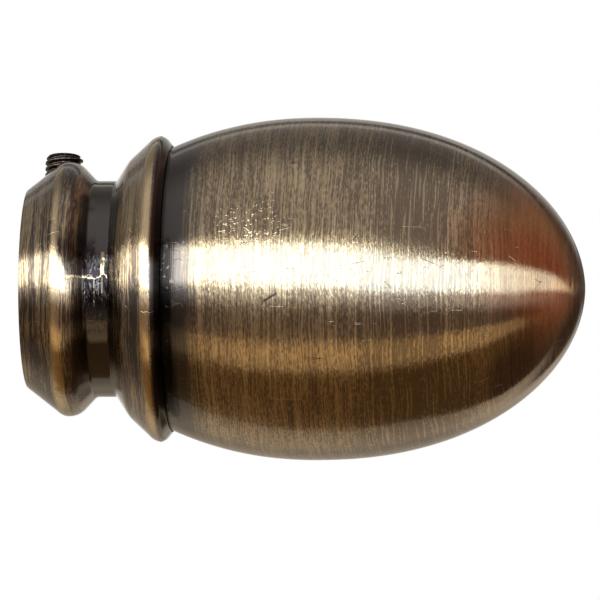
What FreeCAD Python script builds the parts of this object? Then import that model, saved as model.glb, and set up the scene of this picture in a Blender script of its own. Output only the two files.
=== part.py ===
import FreeCAD, Part
import math
import os

# Finial with an egg-shaped head on a turned collar.  The collar has a blind
# socket of 25 mm nominal size, which one grub screw clamps.
#
# Frame, in millimetres: the origin is the centre of the socket's mouth, +X runs
# along the socket's axis from the mouth to the tip of the egg, and +Z runs out
# along the grub screw.  Every turned profile is drawn as (x, radius).

V = FreeCAD.Vector
AXIS_X = V(1, 0, 0)
AXIS_Z = V(0, 0, 1)

# ---------------------------------------------------------------- dimensions
# blind socket
nominal_d = 25.0
socket_r = 12.95            # nominal radius and 0.45 mm of play
socket_depth = 12.0         # mouth to the shoulder at its end

# collar, outside
mouth_r = 13.12             # the cone starts almost at the bore, so the lip is thin
front_slope = 0.78          # bead's front cone, rise over run
bead_r = 16.80              # crest of the bead
bead_back_x = 6.60          # where the crest's line meets the back cone
bead_back_slope = 1.05
bead_front_round = 1.8
bead_back_round = 2.8
neck_r = 14.23
neck_front_round = 0.8
neck_back_round = 0.5
neck_back_x = 11.80         # where the neck meets the flare
flare_knee_x = 13.53        # steep start of the flare, then an even cone
flare_knee_r = 17.00
flare_knee_round = 2.5
flange_r = 20.13            # crest of the rolled rim
flare_slope = 0.929
rim_front_round = 1.15
rim_back_round = 1.30
rim_back_slope = 1.30
rim_back_x = 18.012         # where the crest's line meets the rim's back slope
rim_end_x = 19.00           # free edge of the rim, against the egg
seat_wall_r = 18.68         # shallow seat that the egg's base sits in
seat_x = 18.30
# collar, end wall
pocket_r = 7.0              # pocket for the fixing screw's head
pocket_floor_x = 16.4
fixing_hole_r = 2.75

# grub screw (M5 x 5, hexagon socket) and its hole through the bead
grub_x = 4.28
grub_r = 2.50
grub_hole_r = 2.55
grub_length = 5.0
grub_end_z = 17.97          # outer end, 1.17 mm above the bead's crest
grub_chamfer = 0.45
grub_tip_chamfer = 0.75
grub_hex_af = 2.5
grub_hex_depth = 2.4

# egg-shaped head
egg_r = 22.54               # greatest radius
egg_max_x = 37.70           # where it is
egg_tip_x = 73.36
egg_base_a = 33.06          # the base half is an ellipse of this half length
egg_tip_p = 2.2             # the tip half is a little fuller than an ellipse
egg_tip_q = 1.9
egg_corner_x = 18.90        # the shell turns in after this
egg_corner_round = 0.70
shell_t = 0.80
lip_r = 13.5                # opening left by the turned-in lip

# disc that closes the shell, and its weld nut
disc_r = 16.9
disc_t = 1.5
disc_hole_r = 3.5
nut_af = 9.0
nut_h = 4.0
nut_pilot_r = 3.42
nut_pilot_h = 1.1
nut_thread_r = 2.53

# fixing screw (M5 x 12, pan head) and spring washer
screw_r = 2.50
screw_length = 12.0
screw_head_r = 4.75
screw_head_h = 3.0
washer_r_in = 2.62
washer_r_out = 4.45
washer_t = 1.2
washer_gap = 0.45

os.makedirs("parts", exist_ok=True)


# ------------------------------------------------------------------- helpers
def p3(x, r):
    """A profile point in the half plane below the axis, so that the seams of the
    turned faces lie at the bottom, away from the grub screw's hole."""
    return V(x, 0, -r)


def rounded_edges(pts):
    """Edges of an open profile through (x, r, fillet radius) corners."""
    edges = []
    last = V(pts[0][0], pts[0][1], 0)
    for i in range(1, len(pts)):
        cur = V(pts[i][0], pts[i][1], 0)
        rad = pts[i][2]
        if i < len(pts) - 1 and rad > 0:
            prev = V(pts[i - 1][0], pts[i - 1][1], 0)
            nxt = V(pts[i + 1][0], pts[i + 1][1], 0)
            d1 = (cur - prev)
            d1.normalize()
            d2 = (nxt - cur)
            d2.normalize()
            turn = d1.getAngle(d2)
            t = rad * math.tan(turn / 2.0)
            a = cur - d1 * t
            b = cur + d2 * t
            mid_dir = d2 - d1
            mid_dir.normalize()
            centre = cur + mid_dir * (rad / math.cos(turn / 2.0))
            m = centre - mid_dir * rad
            if (a - last).Length > 1e-6:
                edges.append(Part.LineSegment(p3(last.x, last.y), p3(a.x, a.y)).toShape())
            edges.append(Part.Arc(p3(a.x, a.y), p3(m.x, m.y), p3(b.x, b.y)).toShape())
            last = b
        else:
            if (cur - last).Length > 1e-6:
                edges.append(Part.LineSegment(p3(last.x, last.y), p3(cur.x, cur.y)).toShape())
            last = cur
    return edges


def turned(edges):
    wire = Part.Wire(Part.__sortEdges__(edges))
    if not wire.isClosed():
        raise RuntimeError("profile isn't closed")
    face = Part.Face(wire)
    solid = face.revolve(V(0, 0, 0), AXIS_X, 360)
    return fixed(solid)


def fixed(shape):
    s = shape.Solids[0] if shape.Solids else Part.makeSolid(shape)
    if s.Volume < 0:
        s.reverse()
    return s


def hexagon(af, centre, axis, x_dir, length):
    """Hexagonal prism from centre along axis."""
    rc = af / math.sqrt(3.0)
    y_dir = axis.cross(x_dir)
    pts = []
    for k in range(7):
        a = math.radians(60 * k + 30)
        pts.append(centre + x_dir * (rc * math.cos(a)) + y_dir * (rc * math.sin(a)))
    return Part.Face(Part.makePolygon(pts)).extrude(axis * length)


def save(name, shape):
    shape = shape.removeSplitter() if len(shape.Faces) > 1 else shape
    shape = fixed(shape)
    if not shape.isValid():
        raise RuntimeError(name + " isn't valid")
    shape.exportStep(os.path.join("parts", name + ".step"))
    b = shape.BoundBox
    print("%-14s %9.1f mm3  x %.2f..%.2f  y %.2f..%.2f  z %.2f..%.2f  solids %d" % (
        name, shape.Volume, b.XMin, b.XMax, b.YMin, b.YMax, b.ZMin, b.ZMax, len(shape.Solids)))
    return shape


# -------------------------------------------------------------------- collar
# Outside from the mouth to the rim, then back through the seat, the fixing
# screw's hole, its pocket, the shoulder and the socket's wall.
bead_front_x = (bead_r - mouth_r) / front_slope
neck_front_x = bead_back_x + (bead_r - neck_r) / bead_back_slope
rim_front_x = flare_knee_x + (flange_r - flare_knee_r) / flare_slope
rim_end_r = flange_r - (rim_end_x - rim_back_x) * rim_back_slope

collar_pts = [
    (0.0, socket_r, 0),
    (0.0, mouth_r, 0.06),
    (bead_front_x, bead_r, bead_front_round),
    (bead_back_x, bead_r, bead_back_round),
    (neck_front_x, neck_r, neck_front_round),
    (neck_back_x, neck_r, neck_back_round),
    (flare_knee_x, flare_knee_r, flare_knee_round),
    (rim_front_x, flange_r, rim_front_round),
    (rim_back_x, flange_r, rim_back_round),
    (rim_end_x, rim_end_r, 0.06),
    (rim_end_x, seat_wall_r, 0),
    (seat_x, seat_wall_r, 0.1),
    (seat_x, fixing_hole_r, 0),
    (pocket_floor_x, fixing_hole_r, 0),
    (pocket_floor_x, pocket_r, 0.2),
    (socket_depth, pocket_r, 0),
    (socket_depth, socket_r, 0.25),
    (0.0, socket_r, 0),
]
collar = turned(rounded_edges(collar_pts))

# tapped hole for the grub screw, through the bead's top wall only
grub_hole = Part.makeCylinder(grub_hole_r, 12.0, V(grub_x, 0, 10.0), AXIS_Z)
collar = fixed(collar.cut(grub_hole))
save("collar", collar)


# ---------------------------------------------------------------- head shell
# The egg's outline is a chain of tangent arcs through stations of its curve, so
# that the inner face is the same chain with each radius less the wall.
def egg_station(u, tip_half):
    """Point and direction of the outline, from the tip to the base.  u is the
    radius over the greatest one on the tip half, and the distance from the
    greatest radius over the half length on the base half."""
    if tip_half:
        if u <= 0:
            return V(egg_tip_x, 0, 0), V(0, 1, 0)
        if u >= 1:
            return V(egg_max_x, egg_r, 0), V(-1, 0, 0)
        half = egg_tip_x - egg_max_x
        t = (1.0 - u ** egg_tip_q) ** (1.0 / egg_tip_p)
        fall = egg_r * (egg_tip_p / egg_tip_q) * t ** (egg_tip_p - 1) * (1 - t ** egg_tip_p) ** (1 / egg_tip_q - 1)
        d = V(-half, fall, 0)
        d.normalize()
        return V(egg_max_x + half * t, egg_r * u, 0), d
    r = egg_r * math.sqrt(1 - u * u)
    d = V(-egg_base_a * r / egg_r, -egg_r * u, 0)
    d.normalize()
    return V(egg_max_x - egg_base_a * u, r, 0), d


corner_t = (egg_max_x - egg_corner_x) / egg_base_a
stations = [egg_station(u, True) for u in (0.0, 0.2, 0.42, 0.64, 0.82, 0.94, 1.0)]
stations += [egg_station(corner_t * k, False) for k in (0.34, 0.67, 1.0)]


def left_of(d):
    return V(-d.y, d.x, 0)


# each arc as (start, end, centre, radius), from the tip to the corner
arcs = []
for (p0, t0), (p1, t1) in zip(stations[:-1], stations[1:]):
    v = p1 - p0
    s = t0 + t1
    k = 2.0 * (1.0 - t0.dot(t1))
    d = (-v.dot(s) + math.sqrt(v.dot(s) ** 2 + k * v.dot(v))) / k
    joint = (p0 + p1 + (t0 - t1) * d) * 0.5
    for start, tan, end in ((p0, t0, joint), (p1, t1, joint)):
        nrm = left_of(tan)
        chord = end - start
        rad = chord.dot(chord) / (2.0 * nrm.dot(chord))
        centre = start + nrm * rad
        if start is p0:
            arcs.append((start, joint, centre, abs(rad)))
        else:
            arcs.append((joint, start, centre, abs(rad)))


def arc_edge(start, end, centre, rad, inset):
    a = start - centre
    b = end - centre
    a.normalize()
    b.normalize()
    m = a + b
    m.normalize()
    pts = [centre + q * (rad - inset) for q in (a, m, b)]
    return Part.Arc(*[p3(q.x, q.y) for q in pts]).toShape(), pts[0], pts[2]


shell_edges = [arc_edge(*arc, inset=0.0)[0] for arc in arcs]
corner_p, corner_d = stations[-1]
corner_slope = corner_d.y / corner_d.x
corner_out_r = corner_p.y - corner_slope * (egg_corner_x - seat_x)

# the last inner arcs, cut where the wall's inner face is straight into the lip
lip_in_x = seat_x + shell_t
inner_end = None
for arc in arcs:
    edge, a, b = arc_edge(*arc, inset=shell_t)
    shell_edges.append(edge)
    inner_end = b
corner_in_r = inner_end.y - corner_slope * (inner_end.x - lip_in_x)
shell_edges += rounded_edges([
    (corner_p.x, corner_p.y, 0),
    (seat_x, corner_out_r, egg_corner_round),
    (seat_x, lip_r, 0),
    (lip_in_x, lip_r, 0),
    (lip_in_x, corner_in_r, 0),
    (inner_end.x, inner_end.y, 0),
])
shell_edges.append(Part.LineSegment(V(egg_tip_x, 0, 0), V(egg_tip_x - shell_t, 0, 0)).toShape())
head_shell = turned(shell_edges)
save("head_shell", head_shell)

# ----------------------------------------------------------------- base disc
# Pressed disc held behind the shell's turned-in lip.
disc_x = lip_in_x
base_disc = turned(rounded_edges([
    (disc_x, disc_hole_r, 0),
    (disc_x, disc_r, 0.3),
    (disc_x + disc_t, disc_r, 0.3),
    (disc_x + disc_t, disc_hole_r, 0),
    (disc_x, disc_hole_r, 0),
]))
save("base_disc", base_disc)

# ------------------------------------------------------------------ weld nut
nut_x = disc_x + disc_t
nut = hexagon(nut_af, V(nut_x, 0, 0), AXIS_X, AXIS_Z, nut_h)
nut_rc = nut_af / math.sqrt(3.0)
nut_bevel = turned(rounded_edges([        # corners of the free face turned off at 30 degrees
    (nut_x - 1.0, 0, 0),
    (nut_x - 1.0, nut_rc + 1.0, 0),
    (nut_x + nut_h - 0.35 + (nut_rc + 1.0 - nut_rc) * -0.577, nut_rc + 1.0, 0),
    (nut_x + nut_h, nut_rc - 0.35 / 0.577, 0),
    (nut_x + nut_h, 0, 0),
    (nut_x - 1.0, 0, 0),
]))
nut = nut.common(nut_bevel)
nut = nut.fuse(Part.makeCylinder(nut_pilot_r, nut_pilot_h, V(nut_x - nut_pilot_h, 0, 0), AXIS_X))
nut = nut.cut(Part.makeCylinder(nut_thread_r, nut_h + nut_pilot_h + 2, V(nut_x - nut_pilot_h - 1, 0, 0), AXIS_X))
nut = nut.cut(Part.makeCone(nut_thread_r, nut_thread_r + 0.5, 0.5, V(nut_x + nut_h - 0.5, 0, 0), AXIS_X))
save("weld_nut", nut)

# ------------------------------------------------- fixing screw, from the left
seat_of_head_x = pocket_floor_x - washer_t
fixing = turned(rounded_edges([
    (seat_of_head_x - screw_head_h, 0, 0),
    (seat_of_head_x - screw_head_h, screw_head_r - 1.9, 0),
    (seat_of_head_x - screw_head_h * 0.62, screw_head_r - 0.25, 1.2),
    (seat_of_head_x - 0.1, screw_head_r, 0.1),
    (seat_of_head_x, screw_head_r - 0.15, 0),
    (seat_of_head_x, screw_r, 0),
    (seat_of_head_x + screw_length - 0.5, screw_r, 0),
    (seat_of_head_x + screw_length, screw_r - 0.5, 0),
    (seat_of_head_x + screw_length, 0, 0),
    (seat_of_head_x - screw_head_h, 0, 0),
]))
# cross recess: two tapered slots
cross_depth = 2.0
for a in (0, 90):
    wide, narrow = 2.3, 0.9
    x0 = seat_of_head_x - screw_head_h - 0.2
    x1 = seat_of_head_x - screw_head_h + cross_depth
    slot = []
    for xx, half in ((x0, wide), (x1, narrow)):
        slot.append(Part.makePolygon([V(xx, -half, -0.55), V(xx, half, -0.55), V(xx, half, 0.55),
                                      V(xx, -half, 0.55), V(xx, -half, -0.55)]))
    tool = Part.makeLoft(slot, True, True)
    tool.rotate(V(0, 0, 0), AXIS_X, a)
    fixing = fixing.cut(tool)
save("fixing_screw", fixing)

# ------------------------------------------------------------- spring washer
washer = turned(rounded_edges([
    (pocket_floor_x - washer_t, washer_r_in, 0),
    (pocket_floor_x - washer_t, washer_r_out, 0.1),
    (pocket_floor_x, washer_r_out, 0.1),
    (pocket_floor_x, washer_r_in, 0),
    (pocket_floor_x - washer_t, washer_r_in, 0),
]))
split = Part.makeBox(washer_t + 2.0, washer_gap, 6.0,
                     V(pocket_floor_x - washer_t - 1.0, -washer_gap / 2.0, 0))
split.rotate(V(pocket_floor_x - washer_t / 2.0, 0, 0), AXIS_Z, 25)
split.rotate(V(0, 0, 0), AXIS_X, 130)
washer = washer.cut(split)
save("spring_washer", washer)

# ---------------------------------------------------------------- grub screw
z0 = grub_end_z - grub_length
grub_edges_pts = [
    (z0, 0), (z0, grub_r - grub_tip_chamfer), (z0 + grub_tip_chamfer, grub_r),
    (grub_end_z - grub_chamfer, grub_r), (grub_end_z, grub_r - grub_chamfer), (grub_end_z, 0),
]
grub_wire = Part.makePolygon([V(grub_x, r, z) for z, r in grub_edges_pts] + [V(grub_x, 0, z0)])
grub = Part.Face(grub_wire).revolve(V(grub_x, 0, 0), AXIS_Z, 360)
grub = fixed(grub)
socket = hexagon(grub_hex_af, V(grub_x, 0, grub_end_z - grub_hex_depth), AXIS_Z, AXIS_X, grub_hex_depth + 1.0)
grub = grub.cut(socket)
grub = grub.cut(Part.makeCone(0.05, grub_hex_af / 2.0, 0.55,
                              V(grub_x, 0, grub_end_z - grub_hex_depth - 0.55), AXIS_Z))
grub = grub.cut(Part.makeCone(grub_hex_af / 2.0, grub_hex_af / 2.0 + 0.25, 0.25,
                              V(grub_x, 0, grub_end_z - 0.25), AXIS_Z))
save("grub_screw", grub)
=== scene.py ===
import bpy
import bmesh
import math
import numpy as np
from mathutils import Matrix, Vector


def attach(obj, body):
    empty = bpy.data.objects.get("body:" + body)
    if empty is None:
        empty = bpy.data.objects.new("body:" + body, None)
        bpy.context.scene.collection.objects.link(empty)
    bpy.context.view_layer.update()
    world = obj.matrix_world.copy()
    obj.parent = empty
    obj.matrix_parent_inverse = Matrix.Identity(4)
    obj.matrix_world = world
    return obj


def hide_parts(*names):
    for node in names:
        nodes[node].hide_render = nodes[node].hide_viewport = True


# Egg-shaped finial on a turned collar, antique brass: plated dark, brushed back
# to the brass round the axis, then lacquered.  Sizes are in millimetres and are
# the frame's own; every mesh is written in metres.

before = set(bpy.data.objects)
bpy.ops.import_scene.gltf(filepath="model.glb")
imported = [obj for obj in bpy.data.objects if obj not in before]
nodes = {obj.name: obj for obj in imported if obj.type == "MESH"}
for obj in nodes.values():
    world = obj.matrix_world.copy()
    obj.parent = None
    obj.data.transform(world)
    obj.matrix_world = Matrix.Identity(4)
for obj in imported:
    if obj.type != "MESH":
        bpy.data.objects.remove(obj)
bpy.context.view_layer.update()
MM = 0.001
rng = np.random.default_rng(4731)

# ------------------------------------------------------------ driving sizes
socket_r, socket_depth = 12.95, 12.0
mouth_r, front_slope = 13.12, 0.78
bead_r, bead_back_x, bead_back_slope = 16.80, 6.60, 1.05
neck_r, neck_back_x = 14.23, 11.80
flare_knee_x, flare_knee_r = 13.53, 17.00
flange_r, flare_slope = 20.13, 0.929
rim_back_slope, rim_back_x, rim_end_x = 1.30, 18.012, 19.00
seat_wall_r, seat_x = 18.68, 18.30
pocket_r, pocket_floor_x, fixing_hole_r = 7.0, 16.4, 2.75
grub_x, grub_r, grub_hole_r = 4.28, 2.50, 2.55
grub_length, grub_end_z = 5.0, 17.97
pitch = 0.8
egg_r, egg_max_x, egg_tip_x, egg_base_a = 22.54, 37.70, 73.36, 33.06
egg_corner_x, egg_corner_round, shell_t, lip_r = 18.90, 0.70, 0.80, 13.5


# ------------------------------------------------------------------ profiles
def rounded(pts, step, arc_step):
    """Points along an open profile through (x, r, fillet radius) corners."""
    out = [np.array(pts[0][:2], float)]

    def line_to(p, s):
        a = out[-1]
        n = max(1, int(math.ceil(np.linalg.norm(p - a) / s)))
        for k in range(1, n + 1):
            out.append(a + (p - a) * k / n)

    for i in range(1, len(pts)):
        cur = np.array(pts[i][:2], float)
        rad = pts[i][2]
        if i < len(pts) - 1 and rad > 0:
            prev, nxt = np.array(pts[i - 1][:2], float), np.array(pts[i + 1][:2], float)
            d1 = (cur - prev) / np.linalg.norm(cur - prev)
            d2 = (nxt - cur) / np.linalg.norm(nxt - cur)
            turn = math.acos(max(-1.0, min(1.0, float(d1 @ d2))))
            t = rad * math.tan(turn / 2)
            a = cur - d1 * t
            mid = (d2 - d1) / np.linalg.norm(d2 - d1)
            centre = cur + mid * (rad / math.cos(turn / 2))
            if np.linalg.norm(a - out[-1]) > 1e-6:
                line_to(a, step)
            n = max(4, int(math.ceil(rad * turn / arc_step)))
            a0 = a - centre
            sign = 1.0 if (d1[0] * d2[1] - d1[1] * d2[0]) > 0 else -1.0
            for k in range(1, n + 1):
                w = sign * turn * k / n
                c, s = math.cos(w), math.sin(w)
                out.append(centre + np.array([a0[0] * c - a0[1] * s, a0[0] * s + a0[1] * c]))
        elif np.linalg.norm(cur - out[-1]) > 1e-6:
            line_to(cur, step)
    return out


bead_front_x = (bead_r - mouth_r) / front_slope
neck_front_x = bead_back_x + (bead_r - neck_r) / bead_back_slope
rim_front_x = flare_knee_x + (flange_r - flare_knee_r) / flare_slope
rim_end_r = flange_r - (rim_end_x - rim_back_x) * rim_back_slope

collar_outer = rounded([
    (0.0, 13.0, 0), (0.0, mouth_r, 0.06), (bead_front_x, bead_r, 1.8), (bead_back_x, bead_r, 2.8),
    (neck_front_x, neck_r, 0.8), (neck_back_x, neck_r, 0.5), (flare_knee_x, flare_knee_r, 5.0),
    (rim_front_x, flange_r, 1.9), (rim_back_x, flange_r, 1.30), (rim_end_x, rim_end_r, 0.06),
    (rim_end_x, seat_wall_r, 0)], 0.17, 0.13)
collar_inner = rounded([
    (rim_end_x, seat_wall_r, 0), (seat_x, seat_wall_r, 0.1), (seat_x, fixing_hole_r, 0),
    (pocket_floor_x, fixing_hole_r, 0), (pocket_floor_x, pocket_r, 0.2), (socket_depth, pocket_r, 0),
    (socket_depth, socket_r, 0.25), (0.0, socket_r, 0), (0.0, 13.0, 0)], 1.0, 0.12)
collar_profile = collar_outer + collar_inner[1:-1]


def egg_outer():
    """Outline of the egg from the tip to where its base turns in."""
    out = []
    half = egg_tip_x - egg_max_x
    for k in range(0, 150):
        a = (math.pi / 2) * (k / 150)
        u = math.sin(a)
        t = (1.0 - u ** 1.9) ** (1 / 2.2)
        out.append(np.array([egg_max_x + half * t, egg_r * u]))
    end = (egg_max_x - egg_corner_x) / egg_base_a
    n = 84
    for k in range(0, n + 1):
        u = end * k / n
        out.append(np.array([egg_max_x - egg_base_a * u, egg_r * math.sqrt(1 - u * u)]))
    return out


egg_line = egg_outer()
c_d = egg_line[-1] - egg_line[-2]
c_slope = c_d[1] / c_d[0]
corner_out_r = egg_line[-1][1] - c_slope * (egg_corner_x - seat_x)
egg_profile = egg_line[:-1] + rounded([
    (egg_line[-1][0], egg_line[-1][1], 0), (seat_x, corner_out_r, egg_corner_round),
    (seat_x, lip_r, 0), (seat_x + shell_t, lip_r, 0),
    (seat_x + shell_t, corner_out_r - shell_t * 1.2, 0)], 0.4, 0.1)
inner = []
for k in range(40, 0, -1):                       # inner face, a wall's thickness in
    a = (math.pi / 2) * (k / 40)
    inner.append(np.array([egg_max_x + (egg_tip_x - egg_max_x - shell_t) * math.cos(a) ** 1.0,
                           (egg_r - shell_t) * math.sin(a)]))
base_inner = []
for k in range(18, 0, -1):
    u = (egg_max_x - 20.2) / egg_base_a * k / 18
    base_inner.append(np.array([egg_max_x - egg_base_a * u, (egg_r - shell_t) * math.sqrt(1 - u * u) - 0.05]))
egg_profile += base_inner + inner + [np.array([egg_tip_x - shell_t, 0.0])]


# ----------------------------------------------------------- mesh from grids
def smooth_field(x, phi, terms, seed, kx, kphi):
    """Seeded sum of waves over the length (mm) and the angle, from -1 to 1."""
    g = np.random.default_rng(seed)
    total = np.zeros(np.broadcast(x, phi).shape)
    weight = 0.0
    for _ in range(terms):
        a = g.uniform(kx[0], kx[1])
        n = g.integers(kphi[0], kphi[1] + 1)
        w = g.uniform(0.5, 1.0)
        total = total + w * np.cos(2 * math.pi * a * x * g.choice([-1, 1]) + n * phi + g.uniform(0, 2 * math.pi))
        weight += w * w
    return np.clip(total / (2.0 * math.sqrt(weight)), -1, 1)


def revolve(name, profile, segments, closed, inward=None):
    """Turned mesh round the X axis.  inward(x, phi, radius, index) is how far the
    surface lies inside the true profile, in millimetres, never less than nought."""
    prof = np.array(profile, float)
    phi = np.arange(segments) * 2 * math.pi / segments
    X = np.repeat(prof[:, :1], segments, 1)
    R = np.repeat(prof[:, 1:2], segments, 1)
    P = np.repeat(phi[None, :], len(prof), 0)
    if inward is not None:
        X, R = inward(X, R, P)
    ring = np.stack([X, -R * np.cos(P), R * np.sin(P)], -1) * MM
    bm_verts, faces = [], []
    index = np.zeros((len(prof), segments), int)
    count = 0
    for i in range(len(prof)):
        if prof[i, 1] < 1e-6:
            bm_verts.append(ring[i].mean(0))
            index[i, :] = count
            count += 1
        else:
            bm_verts.extend(ring[i])
            index[i, :] = np.arange(count, count + segments)
            count += segments
    rows = len(prof) if closed else len(prof) - 1
    for i in range(rows):
        a, b = index[i], index[(i + 1) % len(prof)]
        for j in range(segments):
            k = (j + 1) % segments
            if a[0] == a[1]:
                faces.append((a[0], b[j], b[k]))
            elif b[0] == b[1]:
                faces.append((a[j], b[0], a[k]))
            else:
                faces.append((a[j], b[j], b[k], a[k]))
    mesh = bpy.data.meshes.new(name)
    mesh.from_pydata([tuple(v) for v in bm_verts], [], [tuple(int(q) for q in f) for f in faces])
    return finish_mesh(name, mesh)


def finish_mesh(name, mesh, angle=38):
    bm = bmesh.new()
    bm.from_mesh(mesh)
    bmesh.ops.remove_doubles(bm, verts=bm.verts, dist=1e-8)
    bmesh.ops.recalc_face_normals(bm, faces=bm.faces)
    bm.to_mesh(mesh)
    bm.free()
    mesh.polygons.foreach_set("use_smooth", np.ones(len(mesh.polygons), bool))
    mesh.set_sharp_from_angle(angle=math.radians(angle))
    mesh.update()
    obj = bpy.data.objects.new(name, mesh)
    bpy.context.scene.collection.objects.link(obj)
    return obj


# --------------------------------------------------------------- the collar
def collar_shape(X, R, P):
    outside = R > socket_r + 0.16
    body = np.clip((X - 0.25) / 0.8, 0, 1) * np.clip((18.9 - X) / 0.5, 0, 1) * outside
    hand = 0.5 + 0.5 * smooth_field(X, P, 14, 11, (0.02, 0.16), (3, 16))
    fine = 0.5 + 0.5 * smooth_field(X, P, 16, 12, (0.15, 0.42), (10, 46))
    calm = np.clip(np.abs(X - 10.4) / 2.4, 0.15, 1)
    depth = body * calm * (0.020 * hand + 0.006 * fine) + 0.004 * outside
    # a knock on the bead's back slope, where it meets the neck
    for x0, deg, rad, d in ((8.75, 38.0, 0.75, 0.16), (9.35, 35.0, 0.45, 0.07), (16.9, -38.0, 0.40, 0.05),
                            (4.9, -63.0, 0.45, 0.05), (16.6, 158.0, 0.5, 0.06), (5.6, 204.0, 0.55, 0.07)):
        arc = R * np.angle(np.exp(1j * (P - math.radians(deg))))
        depth = depth + outside * d * np.exp(-((X - x0) ** 2 + arc ** 2) / (rad * rad))
    return X, R - depth


collar = revolve("collar_turned", collar_profile, 250, True, collar_shape)


def thread_cutter():
    """Tapped hole: a cylinder of the hole's radius with the thread cut outward of it."""
    segs, rows, z0, z1 = 72, 96, 10.0, 20.0
    verts, faces = [], []
    for i in range(rows + 1):
        z = z0 + (z1 - z0) * i / rows
        for j in range(segs):
            a = 2 * math.pi * j / segs
            s = (z / pitch - a / (2 * math.pi)) % 1.0
            h = max(0.0, 1 - abs(s - 0.5) / 0.40)
            r = grub_hole_r + 0.26 * min(h, 0.8) / 0.8
            verts.append(((grub_x + r * math.cos(a)) * MM, r * math.sin(a) * MM, z * MM))
    for i in range(rows):
        for j in range(segs):
            k = (j + 1) % segs
            faces.append((i * segs + j, i * segs + k, (i + 1) * segs + k, (i + 1) * segs + j))
    faces.append(tuple(reversed(range(segs))))
    faces.append(tuple(range(rows * segs, (rows + 1) * segs)))
    mesh = bpy.data.meshes.new("hole_cutter")
    mesh.from_pydata(verts, [], faces)
    return finish_mesh("hole_cutter", mesh)


cutter = thread_cutter()
cut = collar.modifiers.new("hole", "BOOLEAN")
cut.object = cutter
cut.operation = "DIFFERENCE"
cut.solver = "EXACT"
bpy.context.view_layer.update()
dg = bpy.context.evaluated_depsgraph_get()
holed = bpy.data.meshes.new_from_object(collar.evaluated_get(dg))
collar.modifiers.clear()
collar.data = holed
bpy.data.objects.remove(cutter)
holed.polygons.foreach_set("use_smooth", np.ones(len(holed.polygons), bool))
holed.set_sharp_from_angle(angle=math.radians(38))


# ------------------------------------------------------------------ the egg
def egg_shape(X, R, P):
    outside = R > np.interp(X, [18.3, 19.6, 37.7, 60.0, 73.4], [18.0, 18.2, 22.1, 15.5, -1.0])
    body = np.clip((X - 19.2) / 2.0, 0, 1) * np.clip(R / 4.0, 0, 1) * outside
    spun = 0.5 + 0.5 * smooth_field(X, P, 14, 21, (0.015, 0.10), (1, 9))
    hand = 0.5 + 0.5 * smooth_field(X, P, 18, 22, (0.05, 0.22), (5, 30))
    depth = body * (0.022 * spun + 0.007 * hand) + 0.004 * outside * np.clip(R / 2.0, 0, 1)
    return X - 0.003 * (X > 73.0), R - depth


head = revolve("head_spun", egg_profile, 300, False, egg_shape)


# ------------------------------------------------------------ the grub screw
def grub_screw():
    """M5 x 0.8 right-hand thread, chamfered ends, hexagon socket, cone at the tip."""
    segs = 96
    z0, z1 = grub_end_z - grub_length, grub_end_z
    angles = [2 * math.pi * j / segs for j in range(segs)]

    def limit(z):
        return min(grub_r - 0.012, grub_r - 0.75 + (z - z0), grub_r - 0.42 + (z1 - z) * 0.85)

    def thread(a, z):
        s = (z / pitch - a / (2 * math.pi) + 0.30) % 1.0
        h = abs(s - 0.5) * 2.0                    # 0 at the root, 1 at the crest
        h = min(1.0, max(0.0, (h - 0.16) / 0.62))
        return min(limit(z), grub_r - 0.012 - 0.44 * (1 - h))

    def hexagonal(a, af):
        w = (a + math.pi / 6) % (math.pi / 3) - math.pi / 6
        return af / 2 / math.cos(w)

    rings = []
    rings.append([(0.06, z0 + 0.50)] * segs)                  # cup point
    rings.append([(0.95, z0 + 0.02)] * segs)
    rings.append([(1.10, z0)] * segs)
    rows = 110
    for i in range(rows + 1):
        z = z0 + (z1 - z0) * i / rows
        rings.append([(max(1.12, thread(a, z)), z) for a in angles])
    rings.append([(1.86, z1) for a in angles])
    rings.append([(1.60, z1 - 0.005) for a in angles])
    rings.append([(hexagonal(a, 2.5) + 0.10, z1 - 0.02) for a in angles])
    rings.append([(hexagonal(a, 2.5) + 0.015, z1 - 0.10) for a in angles])
    rings.append([(hexagonal(a, 2.5), z1 - 0.22) for a in angles])
    rings.append([(hexagonal(a, 2.5), z1 - 1.30) for a in angles])
    rings.append([(hexagonal(a, 2.5), z1 - 2.40) for a in angles])
    rings.append([(0.06, z1 - 2.90)] * segs)
    verts, faces = [], []
    for ring in rings:
        for a, (r, z) in zip(angles, ring):
            verts.append(((grub_x + r * math.cos(a)) * MM, r * math.sin(a) * MM, z * MM))
    for i in range(len(rings) - 1):
        for j in range(segs):
            k = (j + 1) % segs
            faces.append((i * segs + j, i * segs + k, (i + 1) * segs + k, (i + 1) * segs + j))
    faces.append(tuple(reversed(range(segs))))
    faces.append(tuple(range((len(rings) - 1) * segs, len(rings) * segs)))
    mesh = bpy.data.meshes.new("grub_screw_threaded")
    mesh.from_pydata(verts, [], faces)
    return finish_mesh("grub_screw_threaded", mesh, 32)


grub = grub_screw()


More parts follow.
